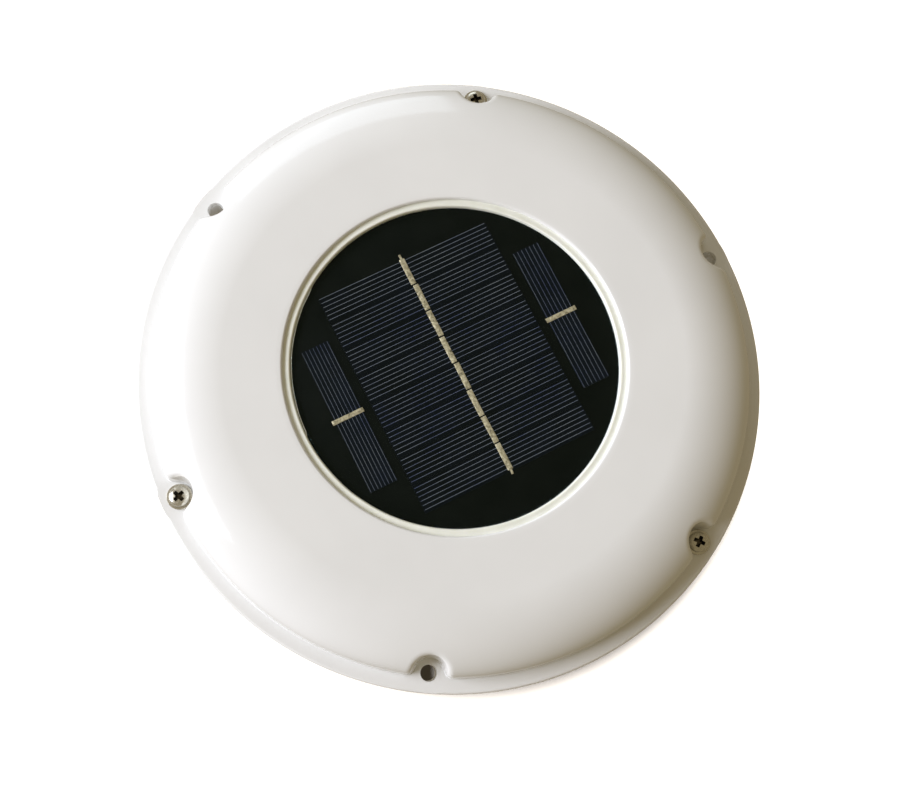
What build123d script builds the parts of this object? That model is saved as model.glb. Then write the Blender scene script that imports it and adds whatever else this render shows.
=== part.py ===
from build123d import *
import math
import os

os.makedirs("parts", exist_ok=True)

# A round solar-powered air extractor for a flat roof or deck. Millimetres, +Z up.
# z = 0 is the roof surface under the base flange and x = y = 0 is the centre of the duct.
# +Y runs through one of the three screws that hold the cover.

# Base, cover and the bolt circle they share
rim_radius = 108.5
base_flange = 3.0
air_gap = 6.0
rim_thickness = 2.5
cover_bottom = base_flange + air_gap
rim_top = cover_bottom + rim_thickness
hole_circle = 101.8
roof_hole_radius = 2.7
standoff_radius = 5.2
screw_angles = 90
open_angles = 30

# Duct
collar_outer = 59.0
collar_bore = 56.0
collar_depth = 38.0
coaming_top = 8.0
screen_step = -22.9
screen_bore = 56.7

# Dome
wall = 2.5
dome_foot = 103.0
straight_wall = 4.5
shoulder_reach = 24.3
shoulder_rise = 12.0
plateau_radius = 78.5
crown_top = rim_top + 17.0
notch_radius = 5.6
notch_flare = 4.0

# Solar panel in its recess
recess_radius = 57.3
recess_floor = 23.7
recess_lip = 1.7
panel_radius = 55.3
board_thickness = 1.6
panel_thickness = 3.0
panel_turn = 31.5
strip_pitch = 10.1
strip_length = 63.5
cell_thickness = 0.25
ribbon_thickness = 0.12
board_top = recess_floor + board_thickness
panel_top = recess_floor + panel_thickness
cell_top = board_top + cell_thickness
ribbon_top = cell_top + ribbon_thickness

# Motor, bracket and fan
motor_face = 6.8
motor_height = 12.3
motor_radius = 12.2
can_wall = 0.8
motor_top = motor_face + motor_height
bracket_plate = 2.0
bracket_bottom = motor_face - bracket_plate
post_circle = 30.0
post_radius = 4.0
shaft_radius = 1.0
shaft_bottom = -4.6
shaft_top = 19.5
fan_tip = 54.2
hub_radius = 15.0
hub_top = 2.2
hub_bottom = -9.2
blade_count = 5
blade_middle = -3.7

# Wiring
lead_radius = 0.65
pad_y = 24.0
pad_x = 2.6
terminal_x = 4.4
terminal_y = 8.15


def save(shape, name):
    """Write one sub-part under its own name."""
    shape.label = name
    export_step(shape, "parts/" + name + ".step")


# Base ring: one moulding with a roof flange, six standoffs for the cover and a round duct
# that drops through the roof. The duct rises inside the cover as a low coaming against rain.
with BuildPart() as base_ring:
    with BuildSketch(Plane.XZ):
        with BuildLine():
            Polyline(
                (collar_bore, coaming_top),
                (collar_outer, coaming_top),
                (collar_outer, base_flange),
                (rim_radius, base_flange),
                (rim_radius, 0),
                (collar_outer, 0),
                (collar_outer, -collar_depth),
                (screen_bore, -collar_depth),
                (screen_bore, screen_step),
                (collar_bore, screen_step),
                close=True,
            )
        make_face()
    revolve(axis=Axis.Z)
    rounded_rims = base_ring.edges().filter_by(GeomType.CIRCLE).group_by(Axis.Z)[-1]
    fillet(rounded_rims, radius=1.2)
    flange_rim = base_ring.edges().filter_by(GeomType.CIRCLE)
    fillet(flange_rim.filter_by(lambda e: abs(e.radius - rim_radius) < 0.01), radius=0.8)
    with BuildSketch(Plane.XY.offset(base_flange)):
        with PolarLocations(hole_circle, 6, start_angle=open_angles):
            Circle(standoff_radius)
    extrude(amount=air_gap)
    with BuildSketch(Plane.XY.offset(base_flange)):
        with PolarLocations(collar_outer + 6.0, 12, start_angle=15):
            Rectangle(13.0, 1.8)
    extrude(amount=2.0)
    with BuildSketch(Plane.XY.offset(cover_bottom)):
        with PolarLocations(hole_circle, 3, start_angle=open_angles):
            Circle(roof_hole_radius)
    extrude(amount=-cover_bottom, mode=Mode.SUBTRACT)
    with BuildSketch(Plane.XY.offset(cover_bottom)):
        with PolarLocations(hole_circle, 3, start_angle=screw_angles):
            Circle(1.45)
    extrude(amount=-7.4, mode=Mode.SUBTRACT)
    with BuildSketch(Plane.XY.offset(-27.9)):
        with PolarLocations(screen_bore - 0.2, 3, start_angle=0):
            Rectangle(1.4, 9.0)
    extrude(amount=1.2)
save(base_ring.part, "base_ring")


# Cover: the space inside the dome, with the ribs, so that the cover keeps an even wall.
with BuildPart() as dome_space:
    with BuildSketch(Plane.XZ):
        with BuildLine():
            Line((0, cover_bottom - 2), (dome_foot - wall, cover_bottom - 2))
            Line((dome_foot - wall, cover_bottom - 2), (dome_foot - wall, rim_top + straight_wall))
            EllipticalCenterArc(
                (dome_foot - shoulder_reach, rim_top + straight_wall),
                shoulder_reach - wall,
                shoulder_rise - wall,
                start_angle=0,
                arc_size=90,
            )
            Polyline(
                (dome_foot - shoulder_reach, rim_top + straight_wall + shoulder_rise - wall),
                (recess_radius + wall + 3.2, crown_top - wall - 0.2),
                (recess_radius + wall, recess_floor - wall),
                (0, recess_floor - wall),
                (0, cover_bottom - 2),
            )
        make_face()
    revolve(axis=Axis.Z)
    with BuildSketch(Plane.XY.offset(cover_bottom - 2)):
        Circle(dome_foot + 20)
        Circle(dome_foot - wall, mode=Mode.SUBTRACT)
        with PolarLocations(hole_circle, 6, start_angle=open_angles):
            Circle(notch_radius + wall)
    extrude(amount=30, mode=Mode.SUBTRACT)
    with BuildSketch(Plane.XY.offset(18.0)):
        with PolarLocations(67.0, 6, start_angle=0):
            Rectangle(72.0, 1.8)
    extrude(amount=14, mode=Mode.SUBTRACT)

# Cover: one glossy moulding. A flat rim carries six holes, and the dome is scalloped round each
# of them. The round recess in the crown holds the panel, and three posts below hold the bracket.
with BuildPart() as top_cover:
    with BuildSketch(Plane.XZ):
        with BuildLine():
            Polyline(
                (0, cover_bottom),
                (rim_radius, cover_bottom),
                (rim_radius, rim_top),
                (dome_foot + 0.4, rim_top),
                (dome_foot, rim_top + straight_wall),
            )
            EllipticalCenterArc(
                (dome_foot - shoulder_reach, rim_top + straight_wall),
                shoulder_reach,
                shoulder_rise,
                start_angle=0,
                arc_size=90,
            )
            Polyline(
                (dome_foot - shoulder_reach, rim_top + straight_wall + shoulder_rise),
                (recess_radius + recess_lip, crown_top),
            )
            CenterArc(
                (recess_radius + recess_lip, crown_top - recess_lip),
                recess_lip,
                start_angle=90,
                arc_size=90,
            )
            Polyline(
                (recess_radius, crown_top - recess_lip),
                (recess_radius, recess_floor),
                (0, recess_floor),
                (0, cover_bottom),
            )
        make_face()
    revolve(axis=Axis.Z)
    with BuildSketch(Plane.XY.offset(rim_top)) as notch_plan:
        Circle(dome_foot + 20)
        Circle(dome_foot + 0.45, mode=Mode.SUBTRACT)
        with PolarLocations(hole_circle, 6, start_angle=open_angles):
            Circle(notch_radius)
        notch_corners = notch_plan.vertices().filter_by(
            lambda v: math.hypot(v.X, v.Y) < dome_foot + 1 and abs(v.Y) > 1
        )
        fillet(notch_corners, radius=notch_flare)
    extrude(amount=30, mode=Mode.SUBTRACT)
    add(dome_space.part, mode=Mode.SUBTRACT)
    with BuildSketch(Plane.XY.offset(motor_face)):
        with PolarLocations(post_circle, 3, start_angle=open_angles):
            Circle(post_radius)
    extrude(amount=recess_floor - 1.0 - motor_face)
    with BuildSketch(Plane.XY.offset(motor_face)):
        with PolarLocations(post_circle, 3, start_angle=open_angles):
            Circle(1.2)
    extrude(amount=9.0, mode=Mode.SUBTRACT)
    with BuildSketch(Plane.XY.offset(recess_floor)):
        with Locations((0, pad_y)):
            SlotOverall(12.0, 6.0)
    extrude(amount=-wall, mode=Mode.SUBTRACT)
    with BuildSketch(Plane.XY.offset(rim_top)):
        with PolarLocations(hole_circle, 3, start_angle=open_angles):
            Circle(roof_hole_radius)
        with PolarLocations(hole_circle, 3, start_angle=screw_angles):
            Circle(2.0)
    extrude(amount=-rim_thickness, mode=Mode.SUBTRACT)
    cover_rim = top_cover.edges().filter_by(GeomType.CIRCLE)
    fillet(cover_rim.filter_by(lambda e: abs(e.radius - rim_radius) < 0.01), radius=0.9)
save(top_cover.part, "top_cover")

# Three pan-head screws with a cross recess hold the cover down on the standoffs.
washer_thickness = 0.8
head_bottom = rim_top + washer_thickness
with BuildPart() as cover_screw:
    with BuildSketch(Plane.XZ):
        with BuildLine():
            Polyline(
                (0, head_bottom - 9.5),
                (0.5, head_bottom - 9.5),
                (1.45, head_bottom - 8.0),
                (1.45, head_bottom),
                (3.4, head_bottom),
                (3.4, head_bottom + 0.9),
            )
            ThreePointArc(
                (3.4, head_bottom + 0.9), (2.4, head_bottom + 1.9), (0, head_bottom + 2.3)
            )
            Line((0, head_bottom + 2.3), (0, head_bottom - 9.5))
        make_face()
    revolve(axis=Axis.Z)
    with BuildSketch(Plane.XY.offset(head_bottom + 2.4)):
        Rectangle(4.0, 0.95)
        Rectangle(0.95, 4.0)
    extrude(amount=-1.5, mode=Mode.SUBTRACT, taper=8)
with BuildPart() as cover_screws:
    with PolarLocations(hole_circle, 3, start_angle=screw_angles):
        add(cover_screw.part)
save(cover_screws.part, "cover_screws")

# Flat stainless washers under the three screw heads.
with BuildPart() as screw_washers:
    with BuildSketch(Plane.XY.offset(rim_top)):
        with PolarLocations(hole_circle, 3, start_angle=screw_angles):
            Circle(4.35)
            Circle(1.9, mode=Mode.SUBTRACT)
    extrude(amount=washer_thickness)
save(screw_washers.part, "screw_washers")

# Round circuit board at the bottom of the panel.
with BuildPart() as panel_board:
    with BuildSketch(Plane.XY.offset(recess_floor)):
        Circle(panel_radius)
    extrude(amount=board_thickness)
save(panel_board.part, "panel_board")

# Eight wide strips of silicon side by side make the main array.
array_plane = Plane(origin=(0, 0, board_top), z_dir=(0, 0, 1)).rotated((0, 0, panel_turn))
with BuildPart() as main_cells:
    with BuildSketch(array_plane):
        with GridLocations(0, strip_pitch, 1, 8):
            Rectangle(strip_length, strip_pitch - 0.15)
    extrude(amount=cell_thickness)
save(main_cells.part, "main_cells")

# One narrow strip stands on each side of the main array, turned across it.
side_offset = 40.0
with BuildPart() as side_cells:
    with BuildSketch(array_plane):
        with GridLocations(2 * side_offset, 0, 2, 1):
            Rectangle(10.0, 52.5)
    extrude(amount=cell_thickness)
save(side_cells.part, "side_cells")

# Tinned ribbons join the strips: eight in line down the middle, and one across each side strip.
ribbon_plane = array_plane.offset(cell_thickness)
with BuildPart() as cell_ribbons:
    with BuildSketch(ribbon_plane):
        with GridLocations(0, strip_pitch, 1, 8):
            Rectangle(1.9, strip_pitch - 0.7)
        with GridLocations(2 * side_offset, 0, 2, 1):
            Rectangle(10.0, 1.8)
    extrude(amount=ribbon_thickness)
save(cell_ribbons.part, "cell_ribbons")

# Clear resin poured over the cells up to the edge of the board.
with BuildPart() as panel_resin:
    with BuildSketch(Plane.XY.offset(board_top)):
        Circle(panel_radius)
    extrude(amount=panel_thickness - board_thickness)
    add(main_cells.part, mode=Mode.SUBTRACT)
    add(side_cells.part, mode=Mode.SUBTRACT)
    add(cell_ribbons.part, mode=Mode.SUBTRACT)
    upper_edge = panel_resin.edges().filter_by(GeomType.CIRCLE).group_by(Axis.Z)[-1]
    fillet(upper_edge, radius=0.5)
save(panel_resin.part, "panel_resin")

# Silicone bead that fills the slot between the panel and the recess wall.
with BuildPart() as panel_seal:
    with BuildSketch(Plane.XZ):
        with BuildLine():
            Polyline(
                (panel_radius, panel_top - 0.7),
                (panel_radius, recess_floor),
                (recess_radius, recess_floor),
                (recess_radius, panel_top - 0.1),
            )
            ThreePointArc(
                (recess_radius, panel_top - 0.1),
                (panel_radius + 1.1, panel_top - 0.55),
                (panel_radius, panel_top - 0.7),
            )
        make_face()
    revolve(axis=Axis.Z)
save(panel_seal.part, "panel_seal")

# Motor bracket: a three-legged moulding screwed to the posts, with a low wall round the motor.
with BuildPart() as motor_bracket:
    with BuildSketch(Plane.XY.offset(bracket_bottom)):
        Circle(14.0)
        with PolarLocations(post_circle, 3, start_angle=open_angles):
            Circle(5.2)
        with PolarLocations(post_circle / 2, 3, start_angle=open_angles):
            Rectangle(post_circle, 7.0)
        Circle(3.2, mode=Mode.SUBTRACT)
        with PolarLocations(post_circle, 3, start_angle=open_angles):
            Circle(1.6, mode=Mode.SUBTRACT)
        with GridLocations(17.0, 0, 2, 1):
            Circle(1.1, mode=Mode.SUBTRACT)
    extrude(amount=bracket_plate)
    with BuildSketch(Plane.XY.offset(motor_face)):
        Circle(13.9)
        Circle(motor_radius + 0.1, mode=Mode.SUBTRACT)
    extrude(amount=5.0)
    with BuildSketch(Plane.XY.offset(motor_face)):
        with PolarLocations(19.0, 3, start_angle=open_angles):
            Rectangle(11.0, 1.6)
    extrude(amount=3.0)
save(motor_bracket.part, "motor_bracket")

# Three small screws drive up through the bracket into the posts.
with BuildPart() as bracket_screws:
    with BuildSketch(Plane.XY.offset(bracket_bottom)) as bracket_heads:
        with PolarLocations(post_circle, 3, start_angle=open_angles):
            Circle(2.7)
    extrude(amount=-1.7)
    head_rims = bracket_screws.edges().filter_by(GeomType.CIRCLE).group_by(Axis.Z)[0]
    fillet(head_rims, radius=0.9)
    with BuildSketch(Plane.XY.offset(bracket_bottom)):
        with PolarLocations(post_circle, 3, start_angle=open_angles):
            Circle(1.2)
    extrude(amount=9.0)
    with BuildSketch(Plane.XY.offset(bracket_bottom - 1.7)):
        with PolarLocations(post_circle, 3, start_angle=open_angles):
            Rectangle(2.8, 0.7)
            Rectangle(0.7, 2.8)
    extrude(amount=1.0, mode=Mode.SUBTRACT)
save(bracket_screws.part, "bracket_screws")

# Motor can: a drawn steel cup, open at the top, with a small boss round the shaft.
with BuildPart() as motor_can:
    with BuildSketch(Plane.XZ):
        with BuildLine():
            Polyline(
                (2.6, motor_face - 1.4),
                (3.1, motor_face - 1.4),
                (3.1, motor_face),
                (motor_radius, motor_face),
                (motor_radius, motor_top),
                (motor_radius - can_wall, motor_top),
                (motor_radius - can_wall, motor_face + can_wall),
                (2.6, motor_face + can_wall),
                close=True,
            )
        make_face()
    revolve(axis=Axis.Z)
    can_corner = motor_can.edges().filter_by(GeomType.CIRCLE).filter_by(
        lambda e: abs(e.radius - motor_radius) < 0.01 and e.center().Z < motor_face + 1
    )
    fillet(can_corner, radius=0.7)
    with BuildSketch(Plane.XY.offset(motor_face)):
        with GridLocations(17.0, 0, 2, 1):
            Circle(0.8)
    extrude(amount=can_wall, mode=Mode.SUBTRACT)
save(motor_can.part, "motor_can")

# Two machine screws fix the motor face to the bracket plate.
with BuildPart() as motor_screws:
    with BuildSketch(Plane.XY.offset(bracket_bottom)):
        with GridLocations(17.0, 0, 2, 1):
            Circle(1.8)
    extrude(amount=-1.2)
    motor_head_rims = motor_screws.edges().filter_by(GeomType.CIRCLE).group_by(Axis.Z)[0]
    fillet(motor_head_rims, radius=0.6)
    with BuildSketch(Plane.XY.offset(bracket_bottom)):
        with GridLocations(17.0, 0, 2, 1):
            Circle(0.8)
    extrude(amount=bracket_plate + can_wall + 0.2)
    with BuildSketch(Plane.XY.offset(bracket_bottom - 1.2)):
        with GridLocations(17.0, 0, 2, 1):
            Rectangle(2.0, 0.5)
            Rectangle(0.5, 2.0)
    extrude(amount=0.7, mode=Mode.SUBTRACT)
save(motor_screws.part, "motor_screws")

# Two curved ferrite magnets line the can.
with BuildPart() as motor_magnets:
    with BuildSketch(Plane.XY.offset(motor_face + 2.0)):
        Circle(motor_radius - can_wall)
        Circle(9.4, mode=Mode.SUBTRACT)
        Rectangle(30, 7.0, mode=Mode.SUBTRACT)
    extrude(amount=6.6)
save(motor_magnets.part, "motor_magnets")

# Sintered bronze bush pressed into the boss of the can.
with BuildPart() as front_bush:
    with BuildSketch(Plane.XY.offset(motor_face - 1.4)):
        Circle(2.6)
        Circle(shaft_radius + 0.03, mode=Mode.SUBTRACT)
    extrude(amount=3.0)
save(front_bush.part, "front_bush")

# Moulded cap that closes the top of the can and carries the brush gear.
cap_bottom = 17.3
with BuildPart() as motor_endcap:
    with BuildSketch(Plane.XY.offset(cap_bottom)):
        Circle(motor_radius - can_wall)
    extrude(amount=motor_top - cap_bottom)
    with BuildSketch(Plane.XY.offset(motor_top)):
        Circle(3.4)
    extrude(amount=0.8)
    with BuildSketch(Plane.XY.offset(cap_bottom)):
        Circle(2.3)
        with Locations((-terminal_x, terminal_y), (terminal_x, terminal_y)):
            Rectangle(1.8, 0.3)
    extrude(amount=motor_top + 0.8 - cap_bottom, mode=Mode.SUBTRACT)
save(motor_endcap.part, "motor_endcap")

# Sintered bronze bush in the cap.
with BuildPart() as rear_bush:
    with BuildSketch(Plane.XY.offset(cap_bottom + 0.3)):
        Circle(2.3)
        Circle(shaft_radius + 0.03, mode=Mode.SUBTRACT)
    extrude(amount=2.2)
save(rear_bush.part, "rear_bush")

# Brushes: two springy metal leaves beside the commutator.
with BuildPart() as brushes:
    for side in (-1, 1):
        with BuildSketch(Plane.XY.offset(15.7)):
            with BuildLine() as leaf_line:
                Polyline(
                    (side * 2.65, -2.0), (side * 2.65, 5.0), (side * terminal_x, terminal_y - 0.28)
                )
            trace(leaf_line.line, line_width=0.25)
        extrude(amount=0.9)
save(brushes.part, "brushes")

# Terminals: two tinned tabs that stand up through the cap.
with BuildPart() as motor_terminals:
    with BuildSketch(Plane.XY.offset(15.6)):
        with Locations((-terminal_x, terminal_y), (terminal_x, terminal_y)):
            Rectangle(1.8, 0.3)
    extrude(amount=4.9)
save(motor_terminals.part, "motor_terminals")

# Rotor: ground steel shaft.
with BuildPart() as motor_shaft:
    with BuildSketch(Plane.XY.offset(shaft_bottom)):
        Circle(shaft_radius)
    extrude(amount=shaft_top - shaft_bottom)
    chamfer(motor_shaft.edges().filter_by(GeomType.CIRCLE), length=0.2)
save(motor_shaft.part, "motor_shaft")

# Rotor: three-pole laminated core.
core_bottom = 9.9
core_height = 4.2
with BuildPart() as armature_core:
    with BuildSketch(Plane.XY.offset(core_bottom)):
        Circle(8.9)
        Circle(7.5, mode=Mode.SUBTRACT)
        with PolarLocations(8.2, 3, start_angle=30):
            Rectangle(3.0, 2.2, mode=Mode.SUBTRACT)
        Circle(2.8)
        with PolarLocations(5.0, 3, start_angle=90):
            Rectangle(5.6, 2.6)
        Circle(shaft_radius, mode=Mode.SUBTRACT)
    extrude(amount=core_height)
save(armature_core.part, "armature_core")

# Rotor: one coil of enamelled wire round each pole.
with BuildPart() as armature_coils:
    with BuildSketch(Plane.XY.offset(core_bottom - 0.9)):
        with PolarLocations(5.0, 3, start_angle=90):
            RectangleRounded(3.2, 6.2, 0.6)
    extrude(amount=core_height + 1.8)
    with BuildSketch(Plane.XY.offset(core_bottom)):
        with PolarLocations(5.0, 3, start_angle=90):
            Rectangle(5.6, 2.6)
        Circle(2.8)
    extrude(amount=core_height, mode=Mode.SUBTRACT)
save(armature_coils.part, "armature_coils")

# Rotor: plastic sleeve and three copper segments of the commutator.
with BuildPart() as commutator_sleeve:
    with BuildSketch(Plane.XY.offset(15.1)):
        Circle(1.7)
        Circle(shaft_radius, mode=Mode.SUBTRACT)
    extrude(amount=1.9)
save(commutator_sleeve.part, "commutator_sleeve")

with BuildPart() as commutator_segments:
    with BuildSketch(Plane.XY.offset(15.1)):
        Circle(2.2)
        Circle(1.7, mode=Mode.SUBTRACT)
        with PolarLocations(2.0, 3, start_angle=0):
            Rectangle(1.4, 0.35, mode=Mode.SUBTRACT)
    extrude(amount=1.9)
save(commutator_segments.part, "commutator_segments")

# Rotor: brass insert that grips the shaft inside the fan hub.
insert_bottom = shaft_bottom
insert_top = 1.2
with BuildPart() as hub_insert:
    with BuildSketch(Plane.XY.offset(insert_bottom)):
        Circle(2.8)
        Circle(shaft_radius, mode=Mode.SUBTRACT)
    extrude(amount=insert_top - insert_bottom)
    with BuildSketch(Plane.XY.offset(insert_bottom + 2.4)):
        Circle(3.0)
        Circle(2.4, mode=Mode.SUBTRACT)
    extrude(amount=1.2, mode=Mode.SUBTRACT)
save(hub_insert.part, "hub_insert")

# Fan blade: a cambered section that gets longer and flatter towards the tip.
blade_steps = [(11.0, 15.0, 40.0, 0.0), (32.0, 24.0, 29.0, 3.0), (56.5, 31.0, 20.0, 9.0)]
with BuildPart() as blade:
    for reach, chord, pitch, lean in blade_steps:
        turn = math.radians(lean)
        foot = Plane(
            origin=(reach * math.cos(turn), reach * math.sin(turn), blade_middle),
            x_dir=(-math.sin(turn), math.cos(turn), 0),
            z_dir=(math.cos(turn), math.sin(turn), 0),
        )
        with BuildSketch(foot.rotated((0, 0, -pitch))):
            with BuildLine():
                ThreePointArc((-chord / 2, 0.4), (0, 0.8 - chord * 0.07), (chord / 2, 0.4))
                Line((chord / 2, 0.4), (chord / 2, -0.4))
                ThreePointArc((chord / 2, -0.4), (0, -0.8 - chord * 0.07), (-chord / 2, -0.4))
                Line((-chord / 2, -0.4), (-chord / 2, 0.4))
            make_face()
    loft()

# Fan: five blades on a cup-shaped hub, moulded in one piece. It turns inside the duct.
with BuildPart() as fan_impeller:
    with PolarLocations(0, blade_count, start_angle=0):
        add(blade.part)
    with BuildSketch(Plane.XY.offset(-30)):
        Circle(fan_tip)
    extrude(amount=60, mode=Mode.INTERSECT)
    with BuildSketch(Plane.XY.offset(-30)):
        Circle(hub_radius - 0.7)
    extrude(amount=60, mode=Mode.SUBTRACT)
    with BuildSketch(Plane.XZ):
        with BuildLine():
            Polyline(
                (1.6, hub_top - 0.6),
                (4.5, hub_top),
                (hub_radius - 2.0, hub_top),
            )
            CenterArc((hub_radius - 2.0, hub_top - 2.0), 2.0, start_angle=90, arc_size=-90)
            Polyline(
                (hub_radius, hub_top - 2.0),
                (hub_radius, hub_bottom),
                (hub_radius - 1.4, hub_bottom),
                (hub_radius - 1.4, hub_top - 1.6),
                (5.2, hub_top - 1.6),
                (5.2, insert_bottom),
                (2.8, insert_bottom),
                (2.8, insert_top),
                (1.6, insert_top),
                (1.6, hub_top - 0.6),
            )
        make_face()
    revolve(axis=Axis.Z)
    with BuildSketch(Plane.XY.offset(insert_bottom)):
        with PolarLocations(9.4, blade_count, start_angle=36):
            Rectangle(8.8, 1.2)
    extrude(amount=hub_top - 1.0 - insert_bottom)
save(fan_impeller.part, "fan_impeller")

# Guard under the fan: a moulded wheel held against the step in the duct by three snap lugs.
guard_top = screen_step - 0.4
guard_height = 3.2
with BuildPart() as guard_grille:
    with BuildSketch(Plane.XY.offset(guard_top - guard_height)):
        Circle(56.4)
        Circle(53.0, mode=Mode.SUBTRACT)
        with PolarLocations(30.5, 8, start_angle=22.5):
            Rectangle(46.0, 1.8)
        Circle(33.0)
        Circle(31.0, mode=Mode.SUBTRACT)
        with PolarLocations(20.0, 8, start_angle=22.5):
            Rectangle(30.0, 1.8)
        Circle(9.0)
    extrude(amount=guard_height)
save(guard_grille.part, "guard_grille")

# Insect screen: a round of fine mesh trapped between the guard and the step.
with BuildPart() as insect_screen:
    with BuildSketch(Plane.XY.offset(guard_top)):
        Circle(56.3)
    extrude(amount=0.4)
save(insect_screen.part, "insect_screen")

# Leads: two insulated wires that drop through the recess floor and hook back to the motor.
lead_top = recess_floor - 0.6
lead_end = terminal_y + 0.5
leads = []
for side, colour in ((-1, "red"), (1, "black")):
    with BuildPart() as lead:
        with BuildLine() as lead_route:
            FilletPolyline(
                (side * pad_x, pad_y, lead_top),
                (side * pad_x, pad_y, 16.0),
                (side * terminal_x, 15.8, 16.0),
                (side * terminal_x, 15.8, 19.85),
                (side * terminal_x, lead_end, 19.85),
                radius=1.8,
            )
        with BuildSketch(Plane(origin=lead_route.line @ 0, z_dir=lead_route.line % 0)):
            Circle(lead_radius)
        sweep(path=lead_route.line)
    leads.append(lead.part)
    save(lead.part, "lead_" + colour)

# Soft solder at both ends of each lead: a dome on the board and a blob on each terminal.
with BuildPart() as solder_joints:
    with Locations((-pad_x, pad_y, recess_floor), (pad_x, pad_y, recess_floor)):
        Sphere(1.3)
    with BuildSketch(Plane.XY.offset(recess_floor)):
        Circle(60)
    extrude(amount=5, mode=Mode.SUBTRACT)
    with BuildSketch(Plane.XY.offset(motor_top + 0.05)):
        with Locations((-terminal_x, lead_end + 0.25), (terminal_x, lead_end + 0.25)):
            Rectangle(1.5, 1.2)
    extrude(amount=1.5)
    for wire in leads:
        add(wire, mode=Mode.SUBTRACT)
save(solder_joints.part, "solder_joints")

# Sealant that plugs the slot where the leads pass through the recess floor.
with BuildPart() as lead_plug:
    with BuildSketch(Plane.XY.offset(recess_floor - wall)):
        with Locations((0, pad_y)):
            SlotOverall(12.0, 6.0)
        with Locations((-pad_x, pad_y), (pad_x, pad_y)):
            Circle(lead_radius, mode=Mode.SUBTRACT)
    extrude(amount=wall)
    add(solder_joints.part, mode=Mode.SUBTRACT)
save(lead_plug.part, "lead_plug")
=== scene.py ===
import math
import bpy
from mathutils import Matrix, Vector, noise


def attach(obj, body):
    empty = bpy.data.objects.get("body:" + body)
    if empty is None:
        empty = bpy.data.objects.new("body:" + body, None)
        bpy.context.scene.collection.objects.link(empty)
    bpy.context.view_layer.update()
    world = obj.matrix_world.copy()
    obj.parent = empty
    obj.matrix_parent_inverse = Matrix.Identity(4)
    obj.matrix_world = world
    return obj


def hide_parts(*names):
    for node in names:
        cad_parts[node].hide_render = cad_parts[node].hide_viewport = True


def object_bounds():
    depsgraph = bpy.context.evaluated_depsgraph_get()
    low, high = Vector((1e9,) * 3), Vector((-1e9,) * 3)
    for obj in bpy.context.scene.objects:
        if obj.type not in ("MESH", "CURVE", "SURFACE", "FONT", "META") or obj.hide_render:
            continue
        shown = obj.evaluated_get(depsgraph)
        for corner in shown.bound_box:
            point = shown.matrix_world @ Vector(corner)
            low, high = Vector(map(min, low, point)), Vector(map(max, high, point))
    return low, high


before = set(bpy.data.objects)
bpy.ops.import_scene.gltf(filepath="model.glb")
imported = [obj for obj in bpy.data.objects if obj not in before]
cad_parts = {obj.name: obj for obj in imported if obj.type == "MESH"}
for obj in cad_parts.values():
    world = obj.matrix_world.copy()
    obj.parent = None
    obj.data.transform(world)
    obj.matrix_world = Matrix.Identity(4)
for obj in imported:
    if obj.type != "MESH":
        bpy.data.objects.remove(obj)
cad_low, cad_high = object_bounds()

# ---- Base ring -------------------------------------------------------------------------------
# One injection moulding in white ABS: a flat roof flange, six standoffs that carry the cover,
# and a round duct that drops through the roof. Its skin is satin, with a faint spark grain.
MM = 0.001


def deselect():
    """Leave edit mode if need be, and select nothing."""
    if bpy.context.object is not None and bpy.context.object.mode != "OBJECT":
        bpy.ops.object.mode_set(mode="OBJECT")
    bpy.ops.object.select_all(action="DESELECT")


def arc(x, z, rx, rz, start, end, steps):
    """Points of an elliptical arc in a section, in degrees, both ends included."""
    turns = [math.radians(start + (end - start) * i / steps) for i in range(steps + 1)]
    return [(x + rx * math.cos(t), z + rz * math.sin(t)) for t in turns]


def draw_section(name, points):
    """A new object whose mesh is a line through (radius, height) points, drawn in millimetres."""
    deselect()
    bpy.ops.mesh.primitive_plane_add(size=MM)
    piece = bpy.context.object
    piece.name = name
    bpy.ops.object.mode_set(mode="EDIT")
    bpy.ops.mesh.select_all(action="SELECT")
    bpy.ops.mesh.merge(type="CENTER")
    bpy.ops.transform.translate(value=(points[0][0] * MM, 0, points[0][1] * MM))
    for (x0, z0), (x1, z1) in zip(points, points[1:]):
        step = ((x1 - x0) * MM, 0, (z1 - z0) * MM)
        bpy.ops.mesh.extrude_vertices_move(TRANSFORM_OT_translate={"value": step})
    bpy.ops.mesh.select_all(action="SELECT")
    return piece


def turn_section(name, points, steps=192, closed=True):
    """A body of revolution about Z from a section given in millimetres."""
    piece = draw_section(name, points)
    if closed:
        bpy.ops.mesh.select_all(action="DESELECT")
        bpy.ops.object.mode_set(mode="OBJECT")
        for vertex in piece.data.vertices:
            ends = (points[0], points[-1])
            vertex.select = any(
                math.hypot(vertex.co.x - x * MM, vertex.co.z - z * MM) < 1e-7 for x, z in ends
            )
        bpy.ops.object.mode_set(mode="EDIT")
        bpy.ops.mesh.edge_face_add()
        bpy.ops.mesh.select_all(action="SELECT")
    bpy.ops.mesh.spin(steps=steps, angle=2 * math.pi, center=(0, 0, 0), axis=(0, 0, 1))
    bpy.ops.mesh.select_all(action="SELECT")
    bpy.ops.mesh.remove_doubles(threshold=1e-6)
    bpy.ops.mesh.normals_make_consistent(inside=False)
    bpy.ops.object.mode_set(mode="OBJECT")
    return piece


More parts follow.
